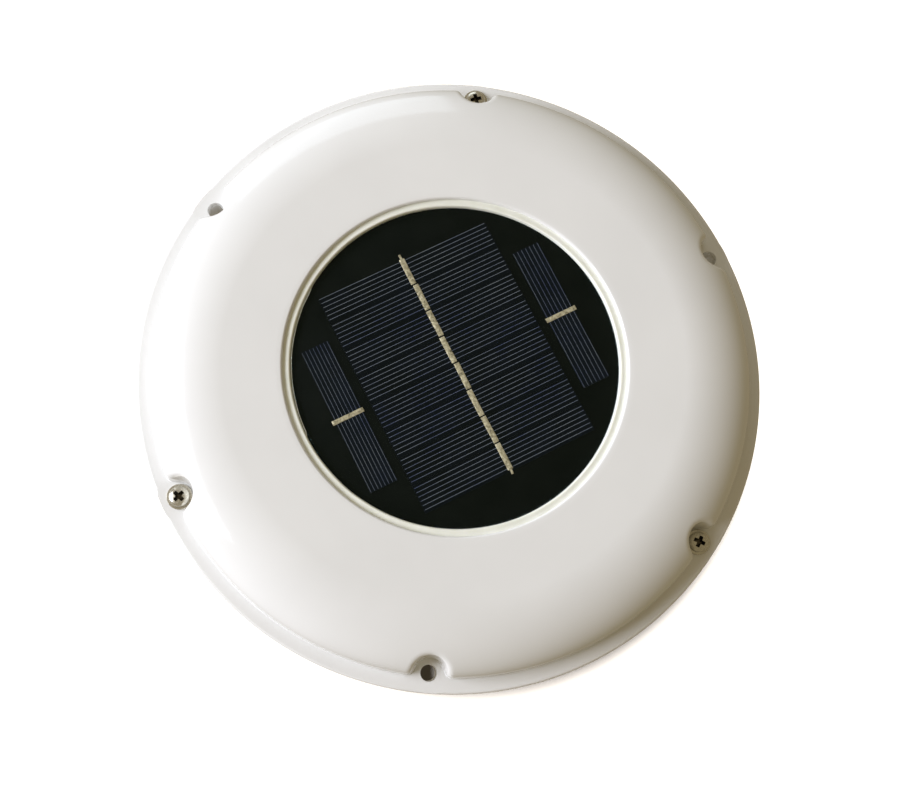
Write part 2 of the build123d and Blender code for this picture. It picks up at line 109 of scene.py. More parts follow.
def combine(piece, tools, operation):
    """Join the tools into one mesh, and unite it with the piece or cut it from the piece."""
    deselect()
    for tool in tools:
        tool.select_set(True)
    bpy.context.view_layer.objects.active = tools[0]
    if len(tools) > 1:
        bpy.ops.object.join()
    tool = bpy.context.object
    bpy.ops.object.transform_apply(location=True, rotation=True, scale=True)
    deselect()
    piece.select_set(True)
    bpy.context.view_layer.objects.active = piece
    cut = piece.modifiers.new("shape", "BOOLEAN")
    cut.operation = operation
    cut.solver = "EXACT"
    cut.object = tool
    bpy.ops.object.modifier_apply(modifier=cut.name)
    bpy.data.objects.remove(tool)


def smooth(piece, degrees=32):
    """Shade a piece smooth, except over edges sharper than this."""
    deselect()
    piece.select_set(True)
    bpy.context.view_layer.objects.active = piece
    bpy.ops.object.shade_smooth_by_angle(angle=math.radians(degrees))


def cylinder(x, y, low, high, radius, sides=32, bevel=0.0):
    """An upright cylinder between two heights in millimetres, with its rims bevelled."""
    deselect()
    place = (x * MM, y * MM, (low + high) / 2 * MM)
    bpy.ops.mesh.primitive_cylinder_add(
        vertices=sides, radius=radius * MM, depth=(high - low) * MM, location=place
    )
    piece = bpy.context.object
    if bevel:
        bpy.ops.object.mode_set(mode="EDIT")
        bpy.ops.mesh.select_all(action="DESELECT")
        bpy.ops.object.mode_set(mode="OBJECT")
        for edge in piece.data.edges:
            a, b = (piece.data.vertices[i].co for i in edge.vertices)
            edge.select = abs(a.z - b.z) < 1e-7
        bpy.ops.object.mode_set(mode="EDIT")
        bpy.ops.mesh.select_mode(type="EDGE")
        bpy.ops.mesh.bevel(offset=bevel * MM, segments=3, affect="EDGES")
        bpy.ops.mesh.select_mode(type="VERT")
        bpy.ops.object.mode_set(mode="OBJECT")
    return piece


def block(x, y, low, high, wide, deep, turn=0.0):
    """A block centred on (x, y), between two heights, turned about Z. Millimetres and degrees."""
    deselect()
    bpy.ops.mesh.primitive_cube_add(size=1, location=(x * MM, y * MM, (low + high) / 2 * MM))
    piece = bpy.context.object
    piece.scale = (wide * MM, deep * MM, (high - low) * MM)
    piece.rotation_euler = (0, 0, math.radians(turn))
    bpy.ops.object.transform_apply(location=True, rotation=True, scale=True)
    return piece


def around(radius, count, first):
    """(x, y, angle) of places spaced evenly round a circle, in millimetres and degrees."""
    for i in range(count):
        angle = first + 360 * i / count
        turn = math.radians(angle)
        yield radius * math.cos(turn), radius * math.sin(turn), angle


def colour(code):
    """An sRGB hex colour as linear RGBA."""
    parts = [int(code[i : i + 2], 16) / 255 for i in (0, 2, 4)]
    return (*[c / 12.92 if c <= 0.04045 else ((c + 0.055) / 1.055) ** 2.4 for c in parts], 1)


def node(tree, kind, settings=None, inputs=None):
    """Add one shader node. An input is a value, or a (node, output) pair that it is linked to."""
    made = tree.nodes.new("ShaderNode" + kind)
    for name, value in (settings or {}).items():
        setattr(made, name, value)
    for name, value in (inputs or {}).items():
        if isinstance(value, tuple) and isinstance(value[0], bpy.types.Node):
            tree.links.new(value[0].outputs[value[1]], made.inputs[name])
        else:
            made.inputs[name].default_value = value
    return made


def new_material(name):
    """An empty node material, its tree and the piece's own coordinates in metres."""
    material = bpy.data.materials.new(name)
    material.use_nodes = True
    tree = material.node_tree
    tree.nodes.clear()
    return material, tree, node(tree, "TexCoord")


def shade(tree, inputs):
    """Finish a material with a Principled shader, whose inputs are values or links."""
    shader = node(tree, "BsdfPrincipled", None, inputs)
    node(tree, "OutputMaterial", None, {"Surface": (shader, "BSDF")})
    return shader


def set_ramp(ramp, stops):
    """Give a colour ramp its (position, hex colour) stops."""
    elements = ramp.color_ramp.elements
    while len(elements) < len(stops):
        elements.new(0.5)
    for element, (place, code) in zip(elements, stops):
        element.position = place
        element.color = colour(code)


def dress(piece, material, body, slot, *stands_for):
    """Give a finished piece its material and body, and hide the CAD parts that it stands for."""
    piece.data.materials.clear()
    piece.data.materials.append(material)
    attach(piece, body)
    if stands_for:
        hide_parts(*stands_for)
    return piece


CLOUD_SIZE = 38
GLOSS_PATCH = 9


def moulded_plastic(name, light, dark, rough, grain_mm, grain_depth, ior=1.53):
    """Opaque moulded plastic: faint cloudy tone, uneven gloss, and the grain of the mould."""
    material, tree, place = new_material(name)
    cloud = node(tree, "TexNoise", None, {
        "Vector": (place, "Object"), "Scale": 1 / (CLOUD_SIZE * MM), "Detail": 3.0,
        "Roughness": 0.55})
    tone = node(tree, "ValToRGB", None, {"Fac": (cloud, "Fac")})
    set_ramp(tone, [(0.32, dark), (0.68, light)])
    gloss = node(tree, "TexNoise", None, {
        "Vector": (place, "Object"), "Scale": 1 / (GLOSS_PATCH * MM), "Detail": 5.0,
        "Roughness": 0.6})
    rough_map = node(tree, "MapRange", None, {
        "Value": (gloss, "Fac"), "From Min": 0.3, "From Max": 0.7,
        "To Min": rough * 0.93, "To Max": rough * 1.09})
    grain = node(tree, "TexNoise", None, {
        "Vector": (place, "Object"), "Scale": 1 / (grain_mm * MM), "Detail": 2.0})
    bump = node(tree, "Bump", None, {
        "Height": (grain, "Fac"), "Distance": grain_depth * MM, "Strength": 1.0})
    shade(tree, {
        "Base Color": (tone, "Color"), "Roughness": (rough_map, "Result"), "IOR": ior,
        "Normal": (bump, "Normal")})
    return material


# Satin ABS: the spark grain of about a third of a millimetre breaks up the highlights.
satin_abs = moulded_plastic("satin_white_abs", "E8E7E5", "E2E1DE", 0.34, 0.35, 0.006)
FLANGE_TOP = 3.0
COVER_UNDER = 9.0
HOLE_CIRCLE = 101.8
DUCT_OUTER = 59.0
DUCT_BORE = 56.0
SCREEN_BORE = 56.7
SCREEN_STEP = -22.9
base_section = (
    [(DUCT_BORE, SCREEN_STEP), (DUCT_BORE, 6.4)]
    + arc(57.2, 6.8, 1.2, 1.2, 180, 90, 4)
    + arc(57.8, 6.8, 1.2, 1.2, 90, 0, 4)
    + [(DUCT_OUTER, 6.4), (DUCT_OUTER, 4.0)]
    + arc(59.6, 3.6, 0.6, 0.6, 180, 270, 3)
    + [(60.2, FLANGE_TOP), (107.2, FLANGE_TOP)]
    + arc(107.7, 2.2, 0.8, 0.8, 90, 0, 4)
    + arc(107.7, 0.8, 0.8, 0.8, 0, -90, 4)
    + [(107.2, 0), (60.2, 0)]
    + arc(59.4, -0.4, 0.4, 0.4, 90, 180, 3)
    + [(DUCT_OUTER, -0.9), (DUCT_OUTER, -37.0)]
    + arc(58.5, -37.5, 0.5, 0.5, 0, -90, 3)
    + arc(57.1, -37.6, 0.4, 0.4, -90, -180, 3)
    + [(SCREEN_BORE, -37.0), (SCREEN_BORE, SCREEN_STEP)]
)
base = turn_section("base_moulding", base_section, 192)
STANDOFF_RADIUS = 5.2
ROOF_HOLE_RADIUS = 2.7
SCREW_PILOT_RADIUS = 1.45
EMBEDDED = FLANGE_TOP - 1.0
# Standoffs, then the gussets that brace the coaming, then the snap lugs that hold the guard.
added = [
    cylinder(x, y, EMBEDDED, COVER_UNDER, STANDOFF_RADIUS, 40, 0.35)
    for x, y, _ in around(HOLE_CIRCLE, 6, 30)]
added += [block(x, y, EMBEDDED, 5.0, 13.4, 1.8, a) for x, y, a in around(64.8, 12, 15)]
added += [block(x, y, -27.9, -26.7, 1.7, 9.0, a) for x, y, a in around(56.6, 3, 0)]
combine(base, added, "UNION")
drills = [
    cylinder(x, y, -1.0, 10.0, ROOF_HOLE_RADIUS, 40) for x, y, _ in around(HOLE_CIRCLE, 3, 30)]
drills += [
    cylinder(x, y, 1.6, 10.0, SCREW_PILOT_RADIUS, 24) for x, y, _ in around(HOLE_CIRCLE, 3, 90)]
combine(base, drills, "DIFFERENCE")
smooth(base)
dress(base, satin_abs, "housing", "white_base", "base_ring")

# ---- Guard and insect screen -----------------------------------------------------------------
# A black nylon wheel snapped into the duct below the fan. It holds a round of coated
# glass-fibre mesh, heat-cut and trapped at its rim, that keeps insects out of the duct.


def refine(node_name, name, bevel=0.0, degrees=32):
    """A copy of a CAD node, merged into one skin, with its hard edges eased."""
    deselect()
    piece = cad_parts[node_name].copy()
    piece.data = piece.data.copy()
    bpy.context.scene.collection.objects.link(piece)
    piece.name = name
    matrix = piece.matrix_world.copy()
    piece.parent = None
    piece.matrix_world = matrix
    piece.select_set(True)
    bpy.context.view_layer.objects.active = piece
    bpy.ops.object.transform_apply(location=True, rotation=True, scale=True)
    bpy.ops.object.mode_set(mode="EDIT")
    bpy.ops.mesh.select_all(action="SELECT")
    bpy.ops.mesh.remove_doubles(threshold=2e-6)
    bpy.ops.mesh.dissolve_limited(angle_limit=math.radians(0.5))
    bpy.ops.object.mode_set(mode="OBJECT")
    if bevel:
        ease = piece.modifiers.new("ease", "BEVEL")
        ease.width = bevel * MM
        ease.segments = 2
        ease.limit_method = "ANGLE"
        ease.angle_limit = math.radians(40)
        ease.harden_normals = False
        bpy.ops.object.modifier_apply(modifier=ease.name)
    smooth(piece, degrees)
    return piece


# Glass-filled nylon: near black, with a dull dry skin that shows a fine grain.
black_nylon = moulded_plastic("black_nylon", "232323", "1B1B1C", 0.48, 0.4, 0.008, 1.53)
guard = refine("guard_grille", "guard_wheel", 0.35)
dress(guard, black_nylon, "housing", "black_nylon", "guard_grille")

# The real mesh has about 16 threads to the inch, which is the pitch here.
MESH_PITCH = 1.6
MESH_RADIUS = 56.0
MESH_LEVEL = SCREEN_STEP - 0.2
THREAD_WIDE = 0.3
mesh_cells = 2 * int(MESH_RADIUS / MESH_PITCH)
deselect()
bpy.ops.mesh.primitive_grid_add(
    x_subdivisions=mesh_cells, y_subdivisions=mesh_cells, size=mesh_cells * MESH_PITCH * MM,
    location=(0, 0, MESH_LEVEL * MM))
screen = bpy.context.object
screen.name = "screen_weave"
bpy.ops.object.transform_apply(location=True)
# The corners of the square are cut off, down to a round that the guard's rim covers.
bpy.ops.object.mode_set(mode="EDIT")
bpy.ops.mesh.select_mode(type="FACE")
bpy.ops.mesh.select_all(action="DESELECT")
bpy.ops.object.mode_set(mode="OBJECT")
for face in screen.data.polygons:
    farthest = max(math.hypot(*screen.data.vertices[i].co.xy) for i in face.vertices)
    face.select = farthest > MESH_RADIUS * MM + 1e-6
bpy.ops.object.mode_set(mode="EDIT")
bpy.ops.mesh.delete(type="FACE")
bpy.ops.mesh.select_mode(type="VERT")
bpy.ops.object.mode_set(mode="OBJECT")
threads = screen.modifiers.new("threads", "WIREFRAME")
threads.thickness = THREAD_WIDE * MM
threads.use_even_offset = False
bpy.ops.object.modifier_apply(modifier=threads.name)
# Vinyl-coated glass yarn: dark grey with a soft sheen, slightly uneven along each thread.
yarn, tree, place = new_material("vinyl_coated_yarn")
slub = node(tree, "TexNoise", None, {
    "Vector": (place, "Object"), "Scale": 1 / (2.2 * MM), "Detail": 2.0})
slub_tone = node(tree, "ValToRGB", None, {"Fac": (slub, "Fac")})
set_ramp(slub_tone, [(0.3, "2A2B2B"), (0.7, "3D3E3D")])
shade(tree, {"Base Color": (slub_tone, "Color"), "Roughness": 0.5, "IOR": 1.5})
dress(screen, yarn, "housing", "screen_mesh", "insect_screen")

# ---- Cover -----------------------------------------------------------------------------------
# A single moulding in glossy white ABS: a flat rim, a low dome scalloped round its six screw
# places, and a round recess in the crown for the panel. Ribs and posts stand under the crown.
RIM_TOP = 11.5
FOOT = 103.25
FOOT_ROUND = 0.45
WALL = 2.5
CROWN = 28.5
SHOULDER_X = 77.6
SHOULDER_Z = 16.0
SHOULDER_WIDE = 25.4
SHOULDER_TALL = 12.4
RECESS = 57.9
LIP_ROUND = 0.9
RECESS_FLOOR = 23.7
cover_section = (
    [(0, RECESS_FLOOR), (40, RECESS_FLOOR), (56.9, RECESS_FLOOR), (RECESS, 24.0)]
    + [(RECESS, 26.4)]
    + arc(RECESS + LIP_ROUND, CROWN - LIP_ROUND, LIP_ROUND, LIP_ROUND, 180, 90, 8)
    + [(60.5, CROWN), (63.0, 28.49), (68.0, 28.47), (73.0, 28.44)]
    + arc(SHOULDER_X, SHOULDER_Z, SHOULDER_WIDE, SHOULDER_TALL, 89, 0, 64)
    + [(103.04, 15.4), (103.08, 14.8), (103.12, 14.2), (103.16, 13.6), (103.2, 13.0)]
    + arc(FOOT + FOOT_ROUND, RIM_TOP + FOOT_ROUND, FOOT_ROUND, FOOT_ROUND, 180, 270, 5)
    + [(104.4, RIM_TOP), (105.4, RIM_TOP), (106.4, RIM_TOP), (107.2, RIM_TOP)]
    + arc(107.6, RIM_TOP - 0.9, 0.9, 0.9, 90, 0, 5)
    + arc(107.9, COVER_UNDER + 0.6, 0.6, 0.6, 0, -90, 3)
    + [(107.4, COVER_UNDER), (106.4, COVER_UNDER), (104.4, COVER_UNDER), (102.6, COVER_UNDER)]
    + [(101.2, COVER_UNDER)]
    + arc(101.0, 9.5, 0.5, 0.5, 270, 180, 2)
    + [(100.5, 11.0), (100.5, 13.5)]
    + arc(SHOULDER_X, SHOULDER_Z, SHOULDER_WIDE - WALL, SHOULDER_TALL - WALL, 0, 90, 16)
    + [(70.0, 25.7), (63.0, 25.8), (61.2, 25.0), (59.8, 21.2), (40, 21.2), (0, 21.2)]
)


def pressed_reach(turn, dome_reach, bay, blend):
    """Reach of the wall at an angle from a scallop's centre line, with its corners rounded."""
    low, high = dome_reach - 15, dome_reach
    for _ in range(22):
        middle = (low + high) / 2
        past_dome = middle - dome_reach
        across = middle * math.sin(turn)
        in_bay = bay - math.hypot(middle * math.cos(turn) - HOLE_CIRCLE, across)
        corner = max(blend - abs(past_dome - in_bay), 0) ** 2 / (4 * blend)
        if max(past_dome, in_bay) + corner > 0:
            high = middle
        else:
            low = middle
    return low


def bay_radius(height):
    """Radius of a scallop, which opens upwards so that the moulding leaves its tool."""
    return 4.9 + 0.085 * (height - RIM_TOP)


def bay_blend(height):
    """Softness of a scallop's corners: broad at the foot, tighter up on the shoulder."""
    return max(3.8 - (height - RIM_TOP) / 6, 1.5)


cover = draw_section("cover_moulding", cover_section)
# Fine steps cross each scallop and coarser ones the plain dome between them. The spin runs
# clockwise, so it starts past the first scallop.
BAY_HALF = 7.0
bpy.ops.transform.rotate(
    value=-math.radians(30 + BAY_HALF), orient_axis="Z", center_override=(0, 0, 0))
for _ in range(6):
    for steps, degrees in ((64, 2 * BAY_HALF), (26, 60 - 2 * BAY_HALF)):
        bpy.ops.mesh.spin(
            steps=steps, angle=math.radians(degrees), center=(0, 0, 0), axis=(0, 0, 1))
bpy.ops.mesh.select_all(action="SELECT")
bpy.ops.mesh.remove_doubles(threshold=2e-6)
bpy.ops.mesh.normals_make_consistent(inside=False)
bpy.ops.object.mode_set(mode="OBJECT")
# Press the scallops into the dome. Outside and inside walls move together.
FLAT_REACH = 107.2
TOP_OF_FOOT = RIM_TOP + FOOT_ROUND
PLAIN_REACH = 80
WALL_OUTSIDE = 102.9
WALL_INSIDE = 101.2
for vertex in cover.data.vertices:
    reach = math.hypot(vertex.co.x, vertex.co.y) / MM
    height = vertex.co.z / MM
    heading = math.atan2(vertex.co.y, vertex.co.x)
    turn = heading % math.radians(60) - math.radians(30)
    if reach < PLAIN_REACH or abs(turn) > math.radians(BAY_HALF):
        continue
    new_reach = reach
    on_shoulder = height > SHOULDER_Z - 0.1 and ((reach - SHOULDER_X) / SHOULDER_WIDE) ** 2 + (
        (height - SHOULDER_Z) / SHOULDER_TALL) ** 2 > 0.92
    if on_shoulder or reach > WALL_OUTSIDE and height > TOP_OF_FOOT - 0.01:
        new_reach = pressed_reach(turn, reach, bay_radius(height), bay_blend(height))
    elif reach > WALL_OUTSIDE and height > RIM_TOP - 1e-3:
        foot = pressed_reach(turn, FOOT, bay_radius(TOP_OF_FOOT), bay_blend(TOP_OF_FOOT))
        if height > RIM_TOP + 1e-3:
            new_reach = foot + reach - FOOT
        else:
            share = (reach - FOOT - FOOT_ROUND) / (FLAT_REACH - FOOT - FOOT_ROUND)
            new_reach = foot + FOOT_ROUND + share * (FLAT_REACH - foot - FOOT_ROUND)
    elif reach < WALL_INSIDE:
        new_reach = pressed_reach(turn, reach, bay_radius(height) + WALL, 2.2)
    vertex.co.x *= new_reach / reach
    vertex.co.y *= new_reach / reach

POST_CIRCLE = 30
cover_posts = [
    cylinder(x, y, 6.8, 21.6, 4.0, 40, 0.3) for x, y, _ in around(POST_CIRCLE, 3, 30)]
rib_section = (
    [(31, 22.4), (31, 18.0), (99.8, 18.0)]
    + arc(SHOULDER_X, SHOULDER_Z, SHOULDER_WIDE - 1.2, SHOULDER_TALL - 1.2, 12, 88, 10)
    + [(63, 27.0), (60.8, 25.8), (58.6, 22.4), (31, 22.4)]
)
RIB_THICK = 1.8
ribs = []
for _, _, angle in around(1, 6, 0):
    rib = draw_section("rib", rib_section)
    bpy.ops.mesh.remove_doubles(threshold=1e-6)
    bpy.ops.mesh.edge_face_add()
    bpy.ops.transform.translate(value=(0, -RIB_THICK / 2 * MM, 0))
    bpy.ops.mesh.extrude_region_move(
        TRANSFORM_OT_translate={"value": (0, RIB_THICK * MM, 0)})
    bpy.ops.mesh.select_all(action="SELECT")
    bpy.ops.mesh.normals_make_consistent(inside=False)
    bpy.ops.object.mode_set(mode="OBJECT")
    rib.data.transform(Matrix.Rotation(math.radians(angle), 4, "Z"))
    ribs.append(rib)
combine(cover, cover_posts + ribs, "UNION")
# The open holes, the screws' holes, the bracket screws' pilots, and the slot for the leads.
cover_holes = [cylinder(x, y, 7.0, 13.5, 2.8, 48) for x, y, _ in around(HOLE_CIRCLE, 3, 30)]
cover_holes += [cylinder(x, y, 7.0, 13.5, 2.0, 32) for x, y, _ in around(HOLE_CIRCLE, 3, 90)]
cover_holes += [cylinder(x, y, 6.0, 15.8, 1.2, 24) for x, y, _ in around(POST_CIRCLE, 3, 30)]
lead_slot = block(0, 24, 20.5, 24.5, 9.0, 6.0)
combine(cover, [*cover_holes, lead_slot], "DIFFERENCE")
smooth(cover, 34)
# Glossy ABS: polished in the mould, so reflections are clear, with a barely wavy sink.
glossy_abs = moulded_plastic("glossy_white_abs", "E9E9E7", "E5E5E3", 0.12, 7.0, 0.012, 1.54)
dress(cover, glossy_abs, "housing", "white_cover", "top_cover")

# ---- Panel board and cells -------------------------------------------------------------------
# A round of black glass-epoxy laminate carries ten strips of dark blue silicon. Thin silver
# fingers are printed on the cells, and tinned ribbons join them in series.
# Black solder mask, wetted by the resin above it: an even black with hardly a reflection.
laminate, tree, place = new_material("black_solder_mask")
mask_cloud = node(tree, "TexNoise", None, {
    "Vector": (place, "Object"), "Scale": 1 / (9 * MM), "Detail": 4.0})
mask_tone = node(tree, "ValToRGB", None, {"Fac": (mask_cloud, "Fac")})
set_ramp(mask_tone, [(0.3, "060807"), (0.7, "0C0E0C")])
shade(tree, {"Base Color": (mask_tone, "Color"), "Roughness": 0.35, "IOR": 1.08})
board = refine("panel_board", "panel_laminate", 0.15)
dress(board, laminate, "housing", "black_laminate", "panel_board")

PANEL_TURN = 31.5
CELL_TOP = 25.55


def silicon(name, low, high):
    """Silicon under its anti-reflection coat: dark blue with faint grains and clouding."""
    material, tree, place = new_material(name)
    crystals = node(tree, "TexVoronoi", None, {
        "Vector": (place, "Object"), "Scale": 1 / (3.5 * MM), "Randomness": 1.0})
    clouds = node(tree, "TexNoise", None, {
        "Vector": (place, "Object"), "Scale": 1 / (16 * MM), "Detail": 4.0})
    mixed = node(tree, "MixRGB", None, {
        "Fac": 0.22, "Color1": (clouds, "Color"), "Color2": (crystals, "Color")})
    tone = node(tree, "ValToRGB", None, {"Fac": (mixed, "Color")})
    set_ramp(tone, [(0.35, low), (0.65, high)])
    shade(tree, {"Base Color": (tone, "Color"), "Roughness": 0.3, "IOR": 1.12})
    return material


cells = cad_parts["main_cells"]
cells.data.materials.clear()
cells.data.materials.append(silicon("coated_silicon", "04070B", "080C14"))
end_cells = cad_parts["side_cells"]
end_cells.data.materials.clear()
end_cells.data.materials.append(silicon("coated_silicon_blue", "050910", "090F1A"))

# Silver paste, fired: matt blue-grey lines. The real ones are under a tenth of a millimetre
# wide, and the long ones here are a little wider, so that they show.
silver_paste, tree, place = new_material("fired_silver_paste")
paste_grain = node(tree, "TexNoise", None, {
    "Vector": (place, "Object"), "Scale": 1 / (22 * MM), "Detail": 6.0, "Roughness": 0.75})
paste_tone = node(tree, "ValToRGB", None, {"Fac": (paste_grain, "Fac")})
set_ramp(paste_tone, [(0.36, "5A6384"), (0.5, "7B828E"), (0.64, "8B9196")])
shade(tree, {"Base Color": (paste_tone, "Color"), "Roughness": 0.55, "IOR": 1.2})
FINGER_PITCH = 1.57
FINGER_WIDE = 0.12
FINGER_LONG = 62.8
SIDE_FINGER_WIDE = 0.09
SIDE_FINGER_LONG = 52.2
SIDE_SPREAD = 9.2
SIDE_OFFSET = 40.0
PRINT_UNDER = CELL_TOP - 0.005
PRINT_OVER = CELL_TOP + 0.02
PRINT_STEP = 10.22
PRINT_CENTRE = 0.56
bars = []
for strip in range(8):
    for finger in range(6):
        v = PRINT_CENTRE + (strip - 3.5) * PRINT_STEP + (finger - 2.5) * FINGER_PITCH
        bars.append(block(0, v, PRINT_UNDER, PRINT_OVER, FINGER_LONG, FINGER_WIDE))
for middle, count in ((-SIDE_OFFSET, 8), (SIDE_OFFSET, 7)):
    for finger in range(count):
        u = middle + (finger - (count - 1) / 2) * SIDE_SPREAD / (count - 1)
        bars.append(block(u, 0, PRINT_UNDER, PRINT_OVER, SIDE_FINGER_WIDE, SIDE_FINGER_LONG))
deselect()
for bar in bars:
    bar.select_set(True)
bpy.context.view_layer.objects.active = bars[0]
bpy.ops.object.join()
fingers = bpy.context.object
fingers.name = "cell_fingers"
fingers.data.transform(Matrix.Rotation(math.radians(PANEL_TURN), 4, "Z"))
dress(fingers, silver_paste, "housing", "tinned_copper")

# Hand-tinned ribbon: a pale tan metal, lumpy where the solder froze, with grey flux stains.
tinned, tree, place = new_material("tinned_ribbon")
blotch = node(tree, "TexNoise", None, {
    "Vector": (place, "Object"), "Scale": 1 / (0.9 * MM), "Detail": 4.0, "Roughness": 0.65})
blotch_tone = node(tree, "ValToRGB", None, {"Fac": (blotch, "Fac")})
set_ramp(blotch_tone, [(0.32, "6F6853"), (0.5, "B8AD8A"), (0.7, "E2DABC")])
lumps = node(tree, "Bump", None, {"Height": (blotch, "Fac"), "Distance": 0.1 * MM})
shade(tree, {"Base Color": (blotch_tone, "Color"), "Roughness": 0.42, "Metallic": 0.3,
             "Normal": (lumps, "Normal")})
RIBBON_WIDE = 1.9
RIBBON_THICK = 0.13
RIBBON_GAP = 0.45
WAVES = 12


def ribbon(u, v, wide, long, turn):
    """One length of ribbon: rounded at its edges, and wavy where the iron went along it."""
    strip = block(0, 0, 0, RIBBON_THICK, wide, long)
    bpy.ops.object.mode_set(mode="EDIT")
    bpy.ops.mesh.select_all(action="SELECT")
    bpy.ops.mesh.bevel(offset=0.05 * MM, segments=2, affect="EDGES")
    bpy.ops.object.mode_set(mode="OBJECT")
    for cut in range(1, WAVES):
        bpy.ops.object.mode_set(mode="EDIT")
        bpy.ops.mesh.select_all(action="SELECT")
        at = (cut / WAVES - 0.5) * long * MM
        bpy.ops.mesh.bisect(plane_co=(0, at, 0), plane_no=(0, 1, 0))
        bpy.ops.object.mode_set(mode="OBJECT")
    for vertex in strip.data.vertices:
        along = Vector((u, v + vertex.co.y / MM, 0)) * 0.9
        vertex.co.x += 0.09 * MM * noise.noise(along) * (1 if vertex.co.x > 0 else 0.6)
        if vertex.co.z > 0.06 * MM:
            vertex.co.z += 0.05 * MM * noise.noise(along * 2 + Vector((0, 0, vertex.co.x / MM)))
    strip.data.transform(Matrix.Rotation(math.radians(turn), 4, "Z"))
    strip.data.transform(Matrix.Translation((u * MM, v * MM, CELL_TOP * MM)))
    return strip


# Each break falls a little off line, as it does when the strips are laid by hand.
RIBBON_STEP = 10.15
RIBBON_CENTRE = 0.65
lengths = []
for strip in range(8):
    v = RIBBON_CENTRE + (strip - 3.5) * RIBBON_STEP
    drift = 0.16 * math.sin(strip * 2.4 + 0.6)
    skew = 0.8 * math.sin(strip * 1.7)
    lengths.append(ribbon(drift, v, RIBBON_WIDE, RIBBON_STEP - RIBBON_GAP, skew))
for end in (-1, 1):
    v = RIBBON_CENTRE + end * (4 * RIBBON_STEP + 0.55)
    lengths.append(ribbon(-0.1 * end, v, 0.75, 1.8, 4 * end))
for u, shift in ((-SIDE_OFFSET, -0.3), (SIDE_OFFSET, 0.2)):
    lengths.append(ribbon(u + shift, 0, 1.6, 11.4, 90))
deselect()
for length in lengths:
    length.select_set(True)
bpy.context.view_layer.objects.active = lengths[0]
bpy.ops.object.join()
ribbons = bpy.context.object
ribbons.name = "tinned_ribbons"
ribbons.data.transform(Matrix.Rotation(math.radians(PANEL_TURN), 4, "Z"))
smooth(ribbons, 40)
dress(ribbons, tinned, "housing", "tinned_copper", "cell_ribbons")

# ---- Resin and sealant -----------------------------------------------------------------------
# Clear resin is poured over the cells and creeps up to a rounded edge. A bead of translucent
# white silicone, run round by hand, closes the slot between the panel and the recess.
resin_section = (
    [(0, 25.2), (50, 25.2), (55.2, 25.2), (55.25, 25.4), (55.25, 26.1)]
    + arc(54.55, 26.0, 0.7, 0.7, 0, 90, 8)
    + [(54.0, 26.69), (53.2, 26.65), (52.0, 26.6), (48.0, 26.57), (30, 26.55), (0, 26.55)]
)
resin = turn_section("panel_resin_cap", resin_section, 240, closed=False)
smooth(resin, 40)
clear_resin, tree, place = new_material("clear_poured_resin")
ripple = node(tree, "TexNoise", None, {
    "Vector": (place, "Object"), "Scale": 1 / (30 * MM), "Detail": 2.0})
ripple_bump = node(tree, "Bump", None, {"Height": (ripple, "Fac"), "Distance": 0.05 * MM})
glass = node(tree, "BsdfPrincipled", None, {
    "Base Color": colour("F6F9FB"), "Roughness": 0.03, "IOR": 1.42, "Transmission Weight": 1.0,
    "Specular Tint": colour("A8CCD4"), "Normal": (ripple_bump, "Normal")})
# Lamps light the cells straight through it, as they do through a clear layer this thin.
path = node(tree, "LightPath")
lit_through = node(tree, "Math", {"operation": "MAXIMUM"}, {
    0: (path, "Is Shadow Ray"), 1: (path, "Is Diffuse Ray")})
lamp_light = node(tree, "BsdfTransparent", None, {"Color": colour("F6F9FB")})
poured = node(tree, "MixShader", None, {
    0: (lit_through, "Value"), 1: (glass, "BSDF"), 2: (lamp_light, "BSDF")})
node(tree, "OutputMaterial", None, {"Surface": (poured, "Shader")})
dress(resin, clear_resin, "housing", "clear_resin", "panel_resin")

seal_section = (
    [(55.3, 23.75), (57.85, 23.75), (57.95, 27.3)]
    + [(57.5, 27.2), (57.1, 27.2), (56.7, 27.26), (56.3, 27.36), (55.95, 27.42), (55.72, 27.38)]
    + [(55.55, 27.24), (55.44, 27.02), (55.36, 26.8), (55.3, 26.55), (55.3, 26.0), (55.3, 25.2)]
)
seal = turn_section("silicone_bead", seal_section, 300)
# On the left a smear of it lies along the edge of the resin, and sinks into the bead elsewhere.
SMEAR_HEADING = 184
SMEAR_HALF = 26
SMEAR_FADE = 6
smear_section = arc(54.98, 26.62, 0.13, 0.14, 0, 330, 11)
smear = turn_section("smear", smear_section, 300)
for vertex in smear.data.vertices:
    heading = math.degrees(math.atan2(vertex.co.y, vertex.co.x)) % 360
    beyond = max(abs(heading - SMEAR_HEADING) - SMEAR_HALF, 0) / SMEAR_FADE
    reach = math.hypot(vertex.co.x, vertex.co.y)
    spread = 1 + min(beyond, 1) * 1.5 * MM / reach + 0.0012 * noise.noise(vertex.co * 300)
    vertex.co.x *= spread
    vertex.co.y *= spread
    vertex.co.z -= min(beyond, 1) * 0.5 * MM
# The free surface of the bead is a little wavy, as a finger leaves it.
for vertex in seal.data.vertices:
    if vertex.co.z > 25.5 * MM and math.hypot(vertex.co.x, vertex.co.y) < 57.7 * MM:
        vertex.co.z += 0.1 * MM * noise.noise(vertex.co * 160)
        spread = 1.0008 + 0.0016 * noise.noise(vertex.co * 110 + Vector((3, 1, 0)))
        vertex.co.x *= spread
        vertex.co.y *= spread
deselect()
smear.select_set(True)
seal.select_set(True)
bpy.context.view_layer.objects.active = seal
bpy.ops.object.join()
smooth(seal, 60)
silicone, tree, place = new_material("translucent_silicone")
milk = node(tree, "TexNoise", None, {
    "Vector": (place, "Object"), "Scale": 1 / (6 * MM), "Detail": 3.0})
milk_tone = node(tree, "ValToRGB", None, {"Fac": (milk, "Fac")})
set_ramp(milk_tone, [(0.3, "EAECDF"), (0.7, "F2F3E8")])
